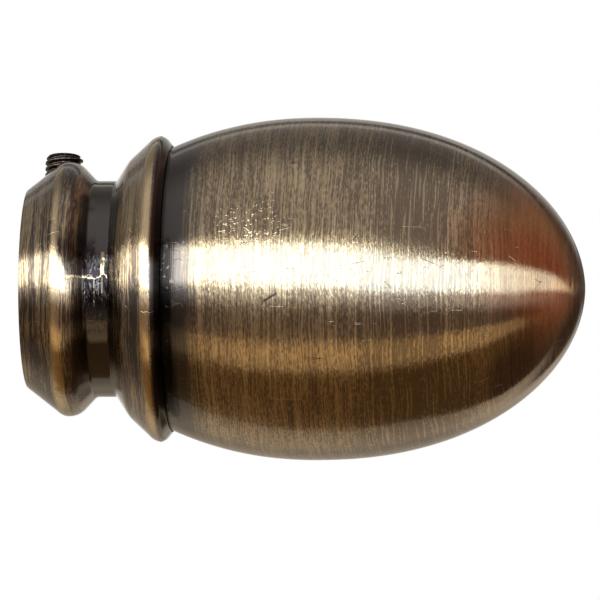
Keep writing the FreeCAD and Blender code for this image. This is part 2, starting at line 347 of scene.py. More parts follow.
# ---------------------------------------------------------------- materials
class Graph:
    """Short names for the shader nodes used below."""

    def __init__(self, tree):
        self.tree = tree
        tree.nodes.clear()

    def add(self, kind, **props):
        n = self.tree.nodes.new(kind)
        for k, v in props.items():
            setattr(n, k, v)
        return n

    def put(self, value, socket):
        if isinstance(value, bpy.types.NodeSocket):
            self.tree.links.new(value, socket)
        elif value is not None:
            socket.default_value = value

    def math(self, op, a, b=None, c=None, clamp=False):
        n = self.add("ShaderNodeMath", operation=op, use_clamp=clamp)
        for v, s in zip((a, b, c), n.inputs):
            self.put(v, s)
        return n.outputs[0]

    def ramp(self, value, lo, hi, out_lo=0.0, out_hi=1.0, kind="SMOOTHSTEP"):
        n = self.add("ShaderNodeMapRange", interpolation_type=kind, clamp=True)
        for v, s in zip((value, lo, hi, out_lo, out_hi), n.inputs):
            self.put(v, s)
        return n.outputs[0]

    def curve(self, value, points):
        """Straight-line function of a value from -1 to 1, through (value, result)."""
        n = self.add("ShaderNodeValToRGB")
        self.put(self.math("MULTIPLY_ADD", value, 0.5, 0.5), n.inputs[0])
        stops = n.color_ramp.elements
        while len(stops) < len(points):
            stops.new(0.5)
        for e, (at, v) in zip(stops, points):
            e.position = at * 0.5 + 0.5
            c = v / 20.0 + 0.5
            e.color = (c, c, c, 1.0)
        return self.math("MULTIPLY_ADD", n.outputs[0], 20.0, -10.0)

    def xyz(self, x, y, z):
        n = self.add("ShaderNodeCombineXYZ")
        for v, s in zip((x, y, z), n.inputs):
            self.put(v, s)
        return n.outputs[0]

    def noise(self, vector, scale, detail=0.0, rough=0.5, dist=0.0):
        n = self.add("ShaderNodeTexNoise", noise_dimensions="3D")
        self.put(vector, n.inputs["Vector"])
        n.inputs["Scale"].default_value = scale
        n.inputs["Detail"].default_value = detail
        n.inputs["Roughness"].default_value = rough
        n.inputs["Distortion"].default_value = dist
        return n.outputs["Fac"]

    def mix(self, fac, a, b, blend="MIX"):
        n = self.add("ShaderNodeMix", data_type="RGBA", blend_type=blend, clamp_factor=True)
        self.put(fac, n.inputs[0])
        self.put(a, n.inputs[6])
        self.put(b, n.inputs[7])
        return n.outputs[2]

    def bump(self, height, distance, strength=1.0, normal=None):
        n = self.add("ShaderNodeBump")
        n.inputs["Strength"].default_value = strength
        n.inputs["Distance"].default_value = distance
        self.put(height, n.inputs["Height"])
        if normal is not None:
            self.put(normal, n.inputs["Normal"])
        return n.outputs["Normal"]

    def window(self, value, lo, hi, soft):
        """1 between lo and hi, falling to nought over soft at both ends."""
        up = self.ramp(value, lo - soft, lo + soft)
        down = self.ramp(value, hi - soft, hi + soft, 1.0, 0.0)
        return self.math("MULTIPLY", up, down)

    def object_mm(self):
        """Object coordinates in millimetres: the vector and its parts."""
        t = self.add("ShaderNodeTexCoord")
        s = self.add("ShaderNodeVectorMath", operation="SCALE")
        self.tree.links.new(t.outputs["Object"], s.inputs[0])
        s.inputs["Scale"].default_value = 1000.0
        p = self.add("ShaderNodeSeparateXYZ")
        self.tree.links.new(s.outputs[0], p.inputs[0])
        return s.outputs[0], p.outputs[0], p.outputs[1], p.outputs[2]


def rgb(r, g, b):
    return (r, g, b, 1.0)


def new_material(name):
    m = bpy.data.materials.new(name)
    m.use_nodes = True
    return m, Graph(m.node_tree)


def antique_brass(name, brushed, wear, gains, bump_mm, rough, level=0.44,
                  length=0.06, zones=(), black=None, neck=None, bore_r=None,
                  dark=(0.150, 0.108, 0.070), ragged=0.9, patches=(), nicks_and_reflections=(), blisters=None, polish=None, calm=None,
                  fleck_along=2.0, across=(1.3, 3.8, 7.5, 5.5), plain_lines=0.0, plain_rough=0.17, hairs=0.0):
    """Dark plate brushed back to the brass.  brushed is a list of (x0, x1, x2, x3):
    the brush's strength rises from x0 to x1 and falls from x2 to x3, in mm along
    the axis.  wear is a list of (x, half width, gain) of polished crests, and gains
    is how strongly the coarse, medium and fine lines and the short flecks show.
    patches are (x0, x1, degrees0, degrees1, soft mm, soft degrees, gain) and nicks_and_reflections
    are (x0, degrees0, x1, degrees1, width, radius there, darkness): single marks, some of
    them painted reflections, with the angle taken from the front, up over the top."""
    m, g = new_material(name)
    p, x, y, z = g.object_mm()
    radius = g.math("SQRT", g.math("ADD", g.math("MULTIPLY", y, y), g.math("MULTIPLY", z, z)))

    # the brush wanders a little as it goes round
    drift = g.noise(g.xyz(g.math("MULTIPLY", x, 0.10), g.math("MULTIPLY", y, 0.16), g.math("MULTIPLY", z, 0.16)), 1.0, 1.0)
    drift2 = g.noise(g.xyz(g.math("MULTIPLY", x, 0.9), g.math("MULTIPLY", y, 0.45), g.math("MULTIPLY", z, 0.45)), 1.0, 0.0)
    xw = g.math("ADD", x, g.math("MULTIPLY", g.math("SUBTRACT", drift, 0.5), 0.7))
    xw = g.math("ADD", xw, g.math("MULTIPLY", g.math("SUBTRACT", drift2, 0.5), 0.07))

    def streaks(across, along, detail=1.0, rough_=0.5, shift=0.0):
        v = g.xyz(g.math("MULTIPLY_ADD", xw, across, shift), g.math("MULTIPLY_ADD", y, along, shift * 0.7),
                  g.math("MULTIPLY", z, along))
        return g.noise(v, 1.0, detail, rough_)

    coarse = streaks(across[0], 0.04, 2.0, 0.55)
    medium = streaks(across[1], length, 2.0, 0.55, 13.0)
    fine = streaks(across[2], length * 2.2, 1.0, 0.5, 31.0)
    fleck = streaks(across[3], fleck_along, 1.0, 0.5, 47.0)
    cloud = g.noise(p, 0.11, 3.0, 0.55)
    mottle = g.noise(p, 1.3, 2.0, 0.6)

    round_ = g.math("MULTIPLY", g.math("ARCTAN2", z, g.math("MULTIPLY", y, -1.0)), 180.0 / math.pi)

    # where the brush went
    mask = None
    for x0, x1, x2, x3 in brushed:
        edge = g.math("MULTIPLY_ADD", g.math("SUBTRACT", medium, 0.5), ragged, x)
        edge = g.math("MULTIPLY_ADD", g.math("SUBTRACT", mottle, 0.5), 0.5, edge)
        w = g.math("MULTIPLY", g.ramp(edge, x0, x1), g.ramp(edge, x2, x3, 1.0, 0.0))
        mask = w if mask is None else g.math("MAXIMUM", mask, w)
    if bore_r is None:
        outside = g.math("ADD", 1.0, 0.0)
    else:
        outside = g.ramp(radius, bore_r + 0.03, bore_r + 0.10)
    mask = g.math("MULTIPLY", mask, outside)

    # how much brass shows
    s = g.math("MULTIPLY", g.math("SUBTRACT", coarse, 0.5), gains[0])
    s = g.math("MULTIPLY_ADD", g.math("SUBTRACT", medium, 0.5), gains[1], s)
    s = g.math("MULTIPLY_ADD", g.math("SUBTRACT", fine, 0.5), gains[2], s)
    s = g.math("MULTIPLY_ADD", g.math("SUBTRACT", fleck, 0.5), gains[3], s)
    if calm is not None:                          # finer, fainter lines towards the tip
        quiet = g.math("MULTIPLY_ADD", g.ramp(x, calm[0], calm[1]), -calm[2], 1.0)
        s = g.math("MULTIPLY", s, quiet)
    s = g.math("MULTIPLY_ADD", g.math("SUBTRACT", cloud, 0.5), 0.9, s)
    s = g.math("ADD", s, level)
    for z0, z1, gain in zones:                    # long slow changes along the axis
        mid_, half_ = (z0 + z1) / 2, (z1 - z0) / 2
        away = g.math("ABSOLUTE", g.math("SUBTRACT", x, mid_))
        s = g.math("MULTIPLY_ADD", g.ramp(away, 0.0, half_, 1.0, 0.0), gain, s)
    bare = None
    for cx, half, gain in wear:
        d = g.math("ABSOLUTE", g.math("SUBTRACT", g.math("MULTIPLY_ADD", g.math("SUBTRACT", medium, 0.5), 0.6, x), cx))
        s = g.math("MULTIPLY_ADD", g.ramp(d, 0.0, half, 1.0, 0.0), gain, s)
        if gain > 1.0:
            d = g.math("MULTIPLY_ADD", g.math("SUBTRACT", fleck, 0.5), 1.5, d)
            d = g.math("MULTIPLY_ADD", g.math("SUBTRACT", fine, 0.5), 1.2, d)
            worn = g.ramp(d, half * 0.3, half * 0.8, 1.0, 0.0)
            bare = worn if bare is None else g.math("MAXIMUM", bare, worn)
    relief = g.math("MULTIPLY", g.math("MULTIPLY_ADD", s, 1.0, 0.0, clamp=True), mask, clamp=True)
    wavy = g.math("MULTIPLY_ADD", g.math("SUBTRACT", g.noise(p, 0.9, 2.0, 0.6), 0.5), 9.0, round_)
    for x0, x1, d0, d1, sx, sd, gain in patches:
        where = g.math("MULTIPLY", g.window(x, x0, x1, sx), g.window(wavy, d0, d1, sd))
        relief = g.math("MULTIPLY_ADD", where, gain, relief, clamp=True)

    plate = g.mix(g.ramp(cloud, 0.35, 0.65), rgb(0.040, 0.033, 0.033), rgb(0.054, 0.046, 0.046))
    plate = g.mix(g.math("MULTIPLY", mask, 0.85), plate, rgb(*dark))
    coat, neck_shade = None, 0.0
    if black is not None:                         # painted shade: the plate beside the joint darkened nearly to black
        joint_shade = g.ramp(g.math("MULTIPLY_ADD", g.math("SUBTRACT", medium, 0.5), black[2], x), black[0], black[1])
        # the painted shade can be kept to a band of angles round the axis, broken up by mottling
        if black[5] is not None:
            joint_shade = g.math("MULTIPLY", joint_shade, g.window(wavy, black[5][0], black[5][1], 4.0))
            joint_shade = g.math("MULTIPLY", joint_shade, g.ramp(mottle, 0.60, 0.70, 1.0, 0.3))
    if neck is not None:                          # painted shade in the neck's groove: darker plate at its front, where the softbox's reflection falls
        neck_shade = g.math("MULTIPLY", g.window(x, neck[0] - neck[1], neck[0] + neck[1], 0.25),
                      g.window(wavy, neck[2], neck[3], 6.0))
        # the painted shade also covers the bead's back slope and the near half of the neck just above the jagged line,
        # holding back the brass there
        slant = g.math("MULTIPLY_ADD", g.math("ADD", wavy, 6.6), 0.088, x)
        shoulder = g.math("MULTIPLY", g.math("MULTIPLY", g.ramp(slant, 6.35, 6.75), g.ramp(x, neck[0] - 0.5, neck[0], 1.0, 0.0)),
                          g.math("MULTIPLY", g.ramp(round_, -6.9, -6.3), g.ramp(wavy, 4.0, 20.0, 1.0, 0.0)))
        relief = g.math("MULTIPLY", relief, g.math("MULTIPLY_ADD", shoulder, -0.75, 1.0))
        neck_shade = g.math("MAXIMUM", neck_shade, g.math("MULTIPLY", shoulder, 0.85))
        # specks are left out of the painted shade
        specks = g.ramp(g.noise(g.xyz(g.math("MULTIPLY", x, 1.6), g.math("MULTIPLY", y, 1.1), g.math("MULTIPLY", z, 1.1)), 1.0, 2.0, 0.65), 0.58, 0.66)
        neck_shade = g.math("MULTIPLY", g.math("MULTIPLY", neck_shade, outside), g.math("MULTIPLY_ADD", specks, -0.75, 1.0))
        plate = g.mix(neck_shade, plate, rgb(0.013, 0.009, 0.010))
    # the lacquer is thinned under the painted shade of the joint and of the neck, so they show little reflection
    if black is not None:
        coat = g.math("MULTIPLY_ADD", g.math("MAXIMUM", neck_shade, g.math("MULTIPLY", joint_shade, black[3])), -0.62, 0.70)
    brass = g.mix(g.ramp(coarse, 0.35, 0.65), rgb(0.36, 0.270, 0.165), rgb(0.42, 0.320, 0.200))
    colour = g.mix(relief, plate, brass)
    if hairs > 0.0:                               # single lines cut down to pale metal
        hair = g.ramp(streaks(4.2, 0.14, 0.0, 0.5, 93.0), 0.61, 0.72)
        hair = g.math("MULTIPLY", g.math("MULTIPLY", hair, mask), hairs)
        if calm is not None:
            hair = g.math("MULTIPLY", hair, quiet)
        colour = g.mix(hair, colour, rgb(0.60, 0.49, 0.35))
    if bare is not None:                          # crests rubbed to bright metal
        colour = g.mix(g.math("MULTIPLY", g.math("MULTIPLY", bare, mask), 0.50), colour, rgb(0.66, 0.50, 0.30))
    # painted shade beside the joint: near-black colour
    if black is not None:
        colour = g.mix(joint_shade, colour, rgb(*black[4]))
    rings = g.noise(g.xyz(g.math("MULTIPLY", g.math("ADD", x, radius), 3.2), 0.0, 0.0), 1.0, 2.0, 0.6)
    bore = g.mix(g.ramp(rings, 0.35, 0.70), rgb(0.16, 0.115, 0.06), rgb(0.34, 0.25, 0.13))
    colour = g.mix(outside, bore, colour)

    # scratches across the lines, and specks in the lacquer
    scratch_v = g.add("ShaderNodeMapping")
    g.put(p, scratch_v.inputs["Vector"])
    scratch_v.inputs["Rotation"].default_value = (0.4, 0.9, 0.6)
    scratch_v.inputs["Scale"].default_value = (0.10, 1.3, 1.3)
    scratch = g.add("ShaderNodeTexVoronoi", feature="DISTANCE_TO_EDGE")
    g.put(scratch_v.outputs[0], scratch.inputs["Vector"])
    scratch.inputs["Scale"].default_value = 0.35
    gate = g.ramp(g.noise(p, 0.35, 1.0), 0.60, 0.66)
    line = g.math("MULTIPLY", g.ramp(scratch.outputs["Distance"], 0.0, 0.012, 1.0, 0.0), gate)
    speck = g.add("ShaderNodeTexVoronoi", feature="F1")
    g.put(p, speck.inputs["Vector"])
    speck.inputs["Scale"].default_value = 0.55
    cell = g.add("ShaderNodeSeparateColor")
    g.put(speck.outputs["Color"], cell.inputs[0])
    rare = g.ramp(cell.outputs[0], 0.80, 0.82)
    pit = g.math("MULTIPLY", g.ramp(speck.outputs["Distance"], 0.03, 0.085, 1.0, 0.0), rare)
    # single dark marks: scratches and spots, and on the egg's base a painted reflection of the flange
    for x0, d0, x1, d1, width, r0, depth in nicks_and_reflections:
        k = math.radians(1.0) * r0
        ex, ea = x1 - x0, (d1 - d0) * k
        long_ = math.hypot(ex, ea)
        c_, s_ = ex / long_, ea / long_
        ax = g.math("SUBTRACT", x, (x0 + x1) / 2)
        aa = g.math("MULTIPLY_ADD", round_, k, -(d0 + d1) / 2 * k)
        along_ = g.math("ABSOLUTE", g.math("ADD", g.math("MULTIPLY", ax, c_), g.math("MULTIPLY", aa, s_)))
        over = g.math("ABSOLUTE", g.math("SUBTRACT", g.math("MULTIPLY", aa, c_), g.math("MULTIPLY", ax, s_)))
        hit = g.math("MULTIPLY", g.ramp(along_, long_ / 2 - width * 0.6, long_ / 2 + width * 0.4, 1.0, 0.0),
                     g.ramp(over, width * 0.35, width * 0.75, 1.0, 0.0))
        colour = g.mix(g.math("MULTIPLY", hit, depth), colour, rgb(0.020, 0.014, 0.010))
    colour = g.mix(g.math("MULTIPLY", line, 0.45), colour, rgb(0.03, 0.02, 0.015))
    colour = g.mix(g.math("MULTIPLY", pit, 0.55), colour, rgb(0.035, 0.025, 0.02))

    # relief of the brush lines: deep across, slow along, with short flecks in them
    h = g.math("MULTIPLY", medium, 0.50)
    h = g.math("MULTIPLY_ADD", fine, 0.30, h)
    h = g.math("MULTIPLY_ADD", fleck, 0.75, h)
    h = g.math("MULTIPLY_ADD", coarse, 0.35, h)
    h = g.math("MULTIPLY", h, g.math("MAXIMUM", mask, plain_lines))
    if calm is not None:
        h = g.math("MULTIPLY", h, quiet)
    marks = g.math("MULTIPLY", streaks(2.1, 0.12, 2.0, 0.6, 71.0), g.math("SUBTRACT", 1.0, mask))
    h = g.math("MULTIPLY_ADD", g.math("MULTIPLY", marks, outside), 0.40, h)
    h = g.math("MULTIPLY_ADD", g.math("MULTIPLY", rings, g.math("SUBTRACT", 1.0, outside)), 0.9, h)
    if neck is not None:                          # uneven plating at the bottom of the neck
        far = g.math("ABSOLUTE", g.math("SUBTRACT", x, neck[0]))
        rough_neck = g.math("MULTIPLY", g.ramp(far, neck[1] * 0.85, neck[1] * 1.15, 1.0, 0.0),
                            g.window(round_, neck[2] - 10.0, neck[3] + 4.0, 5.0))
        ripple = g.noise(g.xyz(g.math("MULTIPLY", x, 2.3), g.math("MULTIPLY", y, 0.50), g.math("MULTIPLY", z, 0.50)), 1.0, 2.0, 0.6)
        h = g.math("MULTIPLY_ADD", g.math("MULTIPLY", g.math("MULTIPLY", ripple, rough_neck), outside), 7.0, h)
    n1 = g.bump(h, bump_mm * MM)
    peel = g.math("MULTIPLY_ADD", g.noise(p, 1.1, 2.0, 0.55), 1.0, g.math("MULTIPLY", pit, -2.2))
    peel = g.math("MULTIPLY_ADD", line, -1.2, peel)
    n2 = g.bump(peel, 0.006 * MM, 1.0, n1)
    if blisters is not None:                      # lacquer that has wrinkled in one place
        bx, bd, br, r0 = blisters[:4]
        k = math.radians(1.0) * r0
        away = g.math("SQRT", g.math("ADD", g.math("POWER", g.math("SUBTRACT", x, bx), 2.0),
                                     g.math("POWER", g.math("MULTIPLY_ADD", round_, k, -bd * k), 2.0)))
        wrinkle = g.ramp(g.noise(p, 1.9, 2.0, 0.6), 0.54, 0.76)
        wrinkle = g.math("MULTIPLY", wrinkle, g.ramp(away, br * 0.3, br, 1.0, 0.0))
        away = g.math("SQRT", g.math("ADD", g.math("POWER", g.math("SUBTRACT", x, blisters[4]), 2.0),
                                     g.math("POWER", g.math("MULTIPLY_ADD", round_, k, -blisters[5] * k), 2.0)))
        wrinkle = g.math("MULTIPLY_ADD", g.ramp(away, 0.0, 0.62, 1.0, 0.0), 2.2, wrinkle)
        peel = g.math("MULTIPLY_ADD", wrinkle, 9.0, peel)
        n2 = g.bump(wrinkle, 0.036 * MM, 1.0, n2)
    lacquer_n = g.bump(peel, 0.007 * MM)

    # line direction: round the axis, so that the gloss spreads along it
    tang = g.add("ShaderNodeVectorMath", operation="CROSS_PRODUCT")
    tang.inputs[0].default_value = (1, 0, 0)
    g.put(g.xyz(0.0, y, z), tang.inputs[1])
    tn = g.add("ShaderNodeVectorMath", operation="NORMALIZE")
    g.put(tang.outputs[0], tn.inputs[0])

    bs = g.add("ShaderNodeBsdfPrincipled")
    out = g.add("ShaderNodeOutputMaterial")
    g.tree.links.new(bs.outputs[0], out.inputs["Surface"])
    g.put(colour, bs.inputs["Base Color"])
    bs.inputs["Metallic"].default_value = 1.0
    r = g.math("MULTIPLY_ADD", g.math("SUBTRACT", medium, 0.5), 0.30, rough)
    r = g.math("MULTIPLY_ADD", g.math("SUBTRACT", cloud, 0.5), 0.08, r)
    if polish is not None:                        # smoother towards the tip
        r = g.math("MULTIPLY_ADD", g.ramp(x, polish[0], polish[1]), polish[2], r)
    plain = g.math("MULTIPLY_ADD", g.math("SUBTRACT", mottle, 0.5), 0.10, plain_rough)
    both = g.math("ADD", g.math("MULTIPLY", r, mask), g.math("MULTIPLY", plain, g.math("SUBTRACT", 1.0, mask)))
    g.put(both, bs.inputs["Roughness"])
    bs.inputs["Anisotropic"].default_value = 0.98
    bs.inputs["Anisotropic Rotation"].default_value = 0.25
    g.put(tn.outputs[0], bs.inputs["Tangent"])
    g.put(n2, bs.inputs["Normal"])
    if coat is None:
        bs.inputs["Coat Weight"].default_value = 0.70
    else:
        g.put(coat, bs.inputs["Coat Weight"])
    bs.inputs["Coat Roughness"].default_value = 0.07
    bs.inputs["Coat IOR"].default_value = 1.5
    bs.inputs["Coat Tint"].default_value = rgb(1.0, 0.97, 0.92)
    g.put(lacquer_n, bs.inputs["Coat Normal"])
    return m


def steel(name, dark, light, stain, rough, scale=1.4, turned_lines=6.0):
    m, g = new_material(name)
    p, x, y, z = g.object_mm()
    cloud = g.noise(p, scale, 3.0, 0.6)
    spots = g.noise(p, scale * 5.0, 2.0, 0.6)
    lines = g.noise(g.xyz(g.math("MULTIPLY", x, turned_lines), g.math("MULTIPLY", y, 0.6), g.math("MULTIPLY", z, 0.6)), 1.0, 1.0)
    colour = g.mix(g.ramp(cloud, 0.35, 0.68), rgb(*dark), rgb(*light))
    colour = g.mix(g.math("MULTIPLY", g.ramp(spots, 0.56, 0.68), 0.7), colour, rgb(*stain))
    bs = g.add("ShaderNodeBsdfPrincipled")
    out = g.add("ShaderNodeOutputMaterial")
    g.tree.links.new(bs.outputs[0], out.inputs["Surface"])
    g.put(colour, bs.inputs["Base Color"])
    bs.inputs["Metallic"].default_value = 1.0
    g.put(g.math("MULTIPLY_ADD", g.math("SUBTRACT", spots, 0.5), 0.25, rough), bs.inputs["Roughness"])
    h = g.math("MULTIPLY_ADD", spots, 0.5, g.math("MULTIPLY", lines, 0.5))
    g.put(g.bump(h, 0.02 * MM), bs.inputs["Normal"])
    return m


def dress(obj, material):
    obj.data.materials.clear()
    obj.data.materials.append(material)


brass_collar = antique_brass(
    "antique_brass_collar",
    brushed=[(-0.4, 0.5, 7.2, 8.8), (12.3, 13.0, 17.65, 17.85)],
    wear=[(4.75, 0.70, 1.05), (17.10, 0.85, 1.50), (0.25, 0.5, 0.30)],
    gains=(3.4, 3.2, 3.0, 2.6), bump_mm=0.050, rough=0.25, level=0.20, length=0.10, fleck_along=0.9,
    across=(1.1, 5.0, 12.0, 13.0),
    # black is painted shade on the flange's back slope, in the joint with the egg; neck is painted shade at the front
    # of the neck's groove
    black=(17.82, 18.02, 0.0, 0.60, (0.022, 0.015, 0.012), None), neck=(10.4, 1.7, -24.0, 4.0), bore_r=socket_r, dark=(0.058, 0.040, 0.036),
    # the first six patches lay brass lines through the neck's painted shade, a jagged line and upright strips, where
    # thin highlights show
    patches=[(6.7, 11.8, -6.9, -6.3, 0.1, 0.35, 1.0), (10.9, 11.35, -6.5, 6.0, 0.08, 1.0, 0.9),
             (8.82, 8.88, -19.0, -7.0, 0.05, 1.5, 0.5), (10.02, 10.09, -20.0, -7.0, 0.05, 1.5, 0.6),
             (10.58, 10.64, -17.0, -7.0, 0.05, 1.5, 0.45), (11.08, 11.14, -20.0, -7.0, 0.05, 1.5, 0.5),
             (0.3, 3.7, -78.0, -20.0, 0.4, 8.0, -0.24), (5.8, 9.5, -85.0, -26.0, 0.3, 8.0, -0.30),
             (12.2, 15.2, -80.0, -20.0, 0.5, 8.0, -0.12), (12.9, 17.2, 2.0, 80.0, 0.5, 12.0, 0.42),
             (16.7, 17.7, -75.0, -12.0, 0.3, 6.0, 0.48), (4.3, 5.1, -50.0, -24.0, 0.3, 6.0, 0.35),
             (4.8, 5.6, -78.0, -45.0, 0.3, 6.0, 0.45)])
brass_head = antique_brass(
    "antique_brass_head",
    brushed=[(21.4, 25.6, 90.0, 91.0)],
    wear=[], gains=(1.0, 1.7, 2.3, 2.6), bump_mm=0.037, rough=0.30, level=0.33, length=0.06,
    plain_lines=0.7, plain_rough=0.24, fleck_along=1.4, hairs=0.34,
    zones=[(24.0, 47.0, 0.18), (42.0, 62.0, -0.50), (62.0, 80.0, 0.12)], ragged=3.0,
    # the patch is a painted reflection of the flange's edge: a thin pale arc on the egg's base
    patches=[(19.9, 22.2, -19.3, -18.7, 0.3, 0.3, 0.5)],
    nicks_and_reflections=[(32.88, -17.1, 34.66, -14.5, 0.26, 22.4, 0.9), (35.9, -17.3, 36.1, -17.1, 0.34, 22.5, 0.8),
           # painted reflection of the flange: the dark rounded patch below that arc
           (20.7, -22.5, 20.7, -32.0, 2.0, 19.5, 0.6)],
    # black is painted shade on the egg's base beside the joint, from 7 degrees above the front to 75 below
    black=(21.4, 20.2, 2.2, 1.00, (0.007, 0.006, 0.006), (-75.0, 7.0)), blisters=(31.0, 15.0, 7.0, 22.2, 36.2, 33.0), polish=(44.0, 62.0, -0.15), calm=(56.0, 65.0, 0.75))
black_steel = steel("blackened_steel", (0.020, 0.016, 0.015), (0.055, 0.045, 0.040), (0.16, 0.10, 0.07), 0.34)
zinc = steel("zinc_plated_steel", (0.50, 0.50, 0.49), (0.64, 0.64, 0.62), (0.42, 0.41, 0.38), 0.30, 0.8)
pressed_brass = steel("pressed_brass", (0.50, 0.37, 0.17), (0.62, 0.47, 0.23), (0.40, 0.28, 0.12), 0.34, 0.5)

dress(collar, brass_collar)
dress(head, brass_head)
dress(grub, black_steel)
dress(nodes["base_disc"], pressed_brass)
for name in ("weld_nut", "fixing_screw", "spring_washer"):
    dress(nodes[name], zinc)

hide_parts("collar")
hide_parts("head_shell")
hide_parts("grub_screw")
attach(collar, "finial")
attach(head, "finial")
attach(grub, "grub_screw")


# ---------------------------------------------------------- floor and studio
floor_mesh = bpy.data.meshes.new("floor")
floor_mesh.from_pydata([(-4, -4, -2.2), (4, -4, -2.2), (4, 4, -2.2), (-4, 4, -2.2)], [], [(0, 1, 2, 3)])
floor = bpy.data.objects.new("floor", floor_mesh)
bpy.context.scene.collection.objects.link(floor)
fm, fg = new_material("floor_paper")
fbs = fg.add("ShaderNodeBsdfPrincipled")
fout = fg.add("ShaderNodeOutputMaterial")
fg.tree.links.new(fbs.outputs[0], fout.inputs["Surface"])
fp, _, _, _ = fg.object_mm()
fg.put(fg.mix(fg.noise(fp, 0.02, 2.0), rgb(0.80, 0.83, 0.87), rgb(0.84, 0.87, 0.91)), fbs.inputs["Base Color"])
fbs.inputs["Roughness"].default_value = 0.85
dress(floor, fm)
floor.visible_glossy = False
floor.visible_shadow = False

# The studio: one long softbox above the lens, a white sweep behind and below,
# and a dim warm room between them.  angle is taken round the part's own axis,
# nought towards the front and 90 straight up; side is how far along +X.
world = bpy.data.worlds.new("studio")
bpy.context.scene.world = world
world.use_nodes = True
w = Graph(world.node_tree)
wt = w.add("ShaderNodeTexCoord")
ws = w.add("ShaderNodeSeparateXYZ")
w.put(wt.outputs["Generated"], ws.inputs[0])
dx, dy, dz = ws.outputs[0], ws.outputs[1], ws.outputs[2]
angle = w.math("MULTIPLY", w.math("ARCTAN2", dz, w.math("MULTIPLY", dy, -1.0)), 180.0 / math.pi)

# how far round the part's length the view swings: nought is the lens' side, 1 is
# beyond the tip, -1 beyond the socket, 2 straight behind
swing = w.math("MULTIPLY", w.math("ARCTAN2", dx, w.math("MULTIPLY", dy, -1.0)), 2.0 / math.pi)
half_swing = w.math("MULTIPLY", swing, 0.5)


def swept(points):
    return w.curve(half_swing, [(at / 2, v) for at, v in points])


# the sweep's near edge, in degrees
edge = w.math("MULTIPLY", w.curve(dx, [(-1.0, -5.95), (-0.30, -6.10), (0.0, -6.22), (0.20, -6.15), (0.35, -6.70),
                                       (0.45, -7.20), (0.55, -7.50), (0.70, -7.90), (1.0, -8.0)]), 20.0)
above = w.ramp(w.math("SUBTRACT", angle, edge), -1.2, 1.2)
below = w.math("SUBTRACT", 1.0, above)

BANDS = [
    # from, to, soft start, soft end, colour, strength, side of the sweep's edge
    (-152.0, -110.0, 8.0, 1.2, (1.00, 0.84, 0.64), 0.68, -1),     # pale sweep below
    (-181.0, -152.0, 1.0, 8.0, (1.00, 0.86, 0.68), 0.40, -1),
    (-172.0, -71.0, 1.2, 3.5, (1.00, 0.60, 0.25), 0.25, 1),       # brown strip, low behind
    (-71.0, -50.0, 3.5, 3.0, (1.00, 0.72, 0.40), 1.00, 0),        # warm strip
    (-50.0, -14.0, 3.0, 5.0, (1.00, 0.76, 0.58), 0.34, 0),        # gap under the softbox
    (-14.0, 88.0, 4.0, 20.0, (1.00, 0.97, 0.94), 0.78, 0),        # ceiling
    (88.0, 129.0, 20.0, 1.0, (1.00, 0.95, 0.90), 0.27, 0),
    (129.0, 135.5, 1.0, 1.0, (1.00, 0.95, 0.90), 0.62, 0),        # pale strip
    (135.5, 143.0, 1.0, 1.0, (1.00, 0.95, 0.90), 0.10, 0),        # dark strip
    (143.0, 158.0, 1.0, 2.0, (1.00, 0.95, 0.88), 0.44, 0),
    (158.0, 175.0, 2.0, 2.0, (1.00, 0.97, 0.93), 0.86, 0),        # lit part of the sweep
    (175.0, 181.0, 2.0, 1.0, (1.00, 0.90, 0.78), 0.45, 0),
]
light = None
lean = w.math("MULTIPLY", w.curve(dx, [(-1.0, 0.0), (0.45, 0.0), (0.63, 0.10), (0.79, 0.34), (0.88, 0.70), (0.95, 1.2), (1.0, 1.7)]), 20.0)
leaning = w.math("ADD", angle, lean)             # the board below turns away towards the tip's side
for a0, a1, s0, s1, col, power, part in BANDS:
    up = w.ramp(leaning if a0 in (-71.0, -50.0) else angle, a0 - s0, a0 + s0)
    down = w.ramp(leaning if a1 in (-71.0, -50.0) else angle, a1 - s1, a1 + s1, 1.0, 0.0)
    band = w.math("MULTIPLY", w.math("MULTIPLY", up, down), power)
    if a0 == 158.0:
        band = w.math("MULTIPLY", band, w.ramp(dx, 0.0, 0.12, 1.0, 0.64))
    if a0 == -181.0:
        band = w.math("MULTIPLY", band, w.ramp(dx, 0.10, 0.36, 1.0, 2.2))
    if part:
        band = w.math("MULTIPLY", band, above if part > 0 else below)
    term = w.mix(1.0, rgb(*col), w.xyz(band, band, band), "MULTIPLY")
    light = term if light is None else w.mix(1.0, light, term, "ADD")
# towards the socket's side the room is grey and dim; beyond the tip it is copper red
# above and nearly black brown below
left_side = w.ramp(dx, -0.55, -0.85)
left_tint = w.mix(w.ramp(dz, -0.25, 0.30), rgb(0.10, 0.080, 0.068), rgb(0.32, 0.30, 0.27))
reach = w.math("MULTIPLY_ADD", w.ramp(dy, 0.15, 0.80), 0.30, dx)
reach = w.math("MULTIPLY_ADD", w.math("MULTIPLY", w.ramp(dz, -0.15, -0.45), w.ramp(dy, 0.25, -0.05)), -0.35, reach)
right_side = w.ramp(reach, 0.46, 0.80)
copper = w.mix(w.ramp(dx, 0.72, 0.96), rgb(0.60, 0.29, 0.16), rgb(0.66, 0.20, 0.10))
far_tint = w.mix(w.ramp(dz, -0.55, 0.05), rgb(0.10, 0.052, 0.030), copper)
far_tint = w.mix(w.ramp(dy, 0.35, 0.80), far_tint, rgb(0.085, 0.048, 0.032))
light = w.mix(w.math("MULTIPLY", left_side, 0.65), light, left_tint)
light = w.mix(w.math("MULTIPLY", right_side, w.math("MULTIPLY_ADD", w.math("MULTIPLY", below, w.ramp(dz, -0.20, -0.45)), -0.84, 0.94)), light, far_tint)
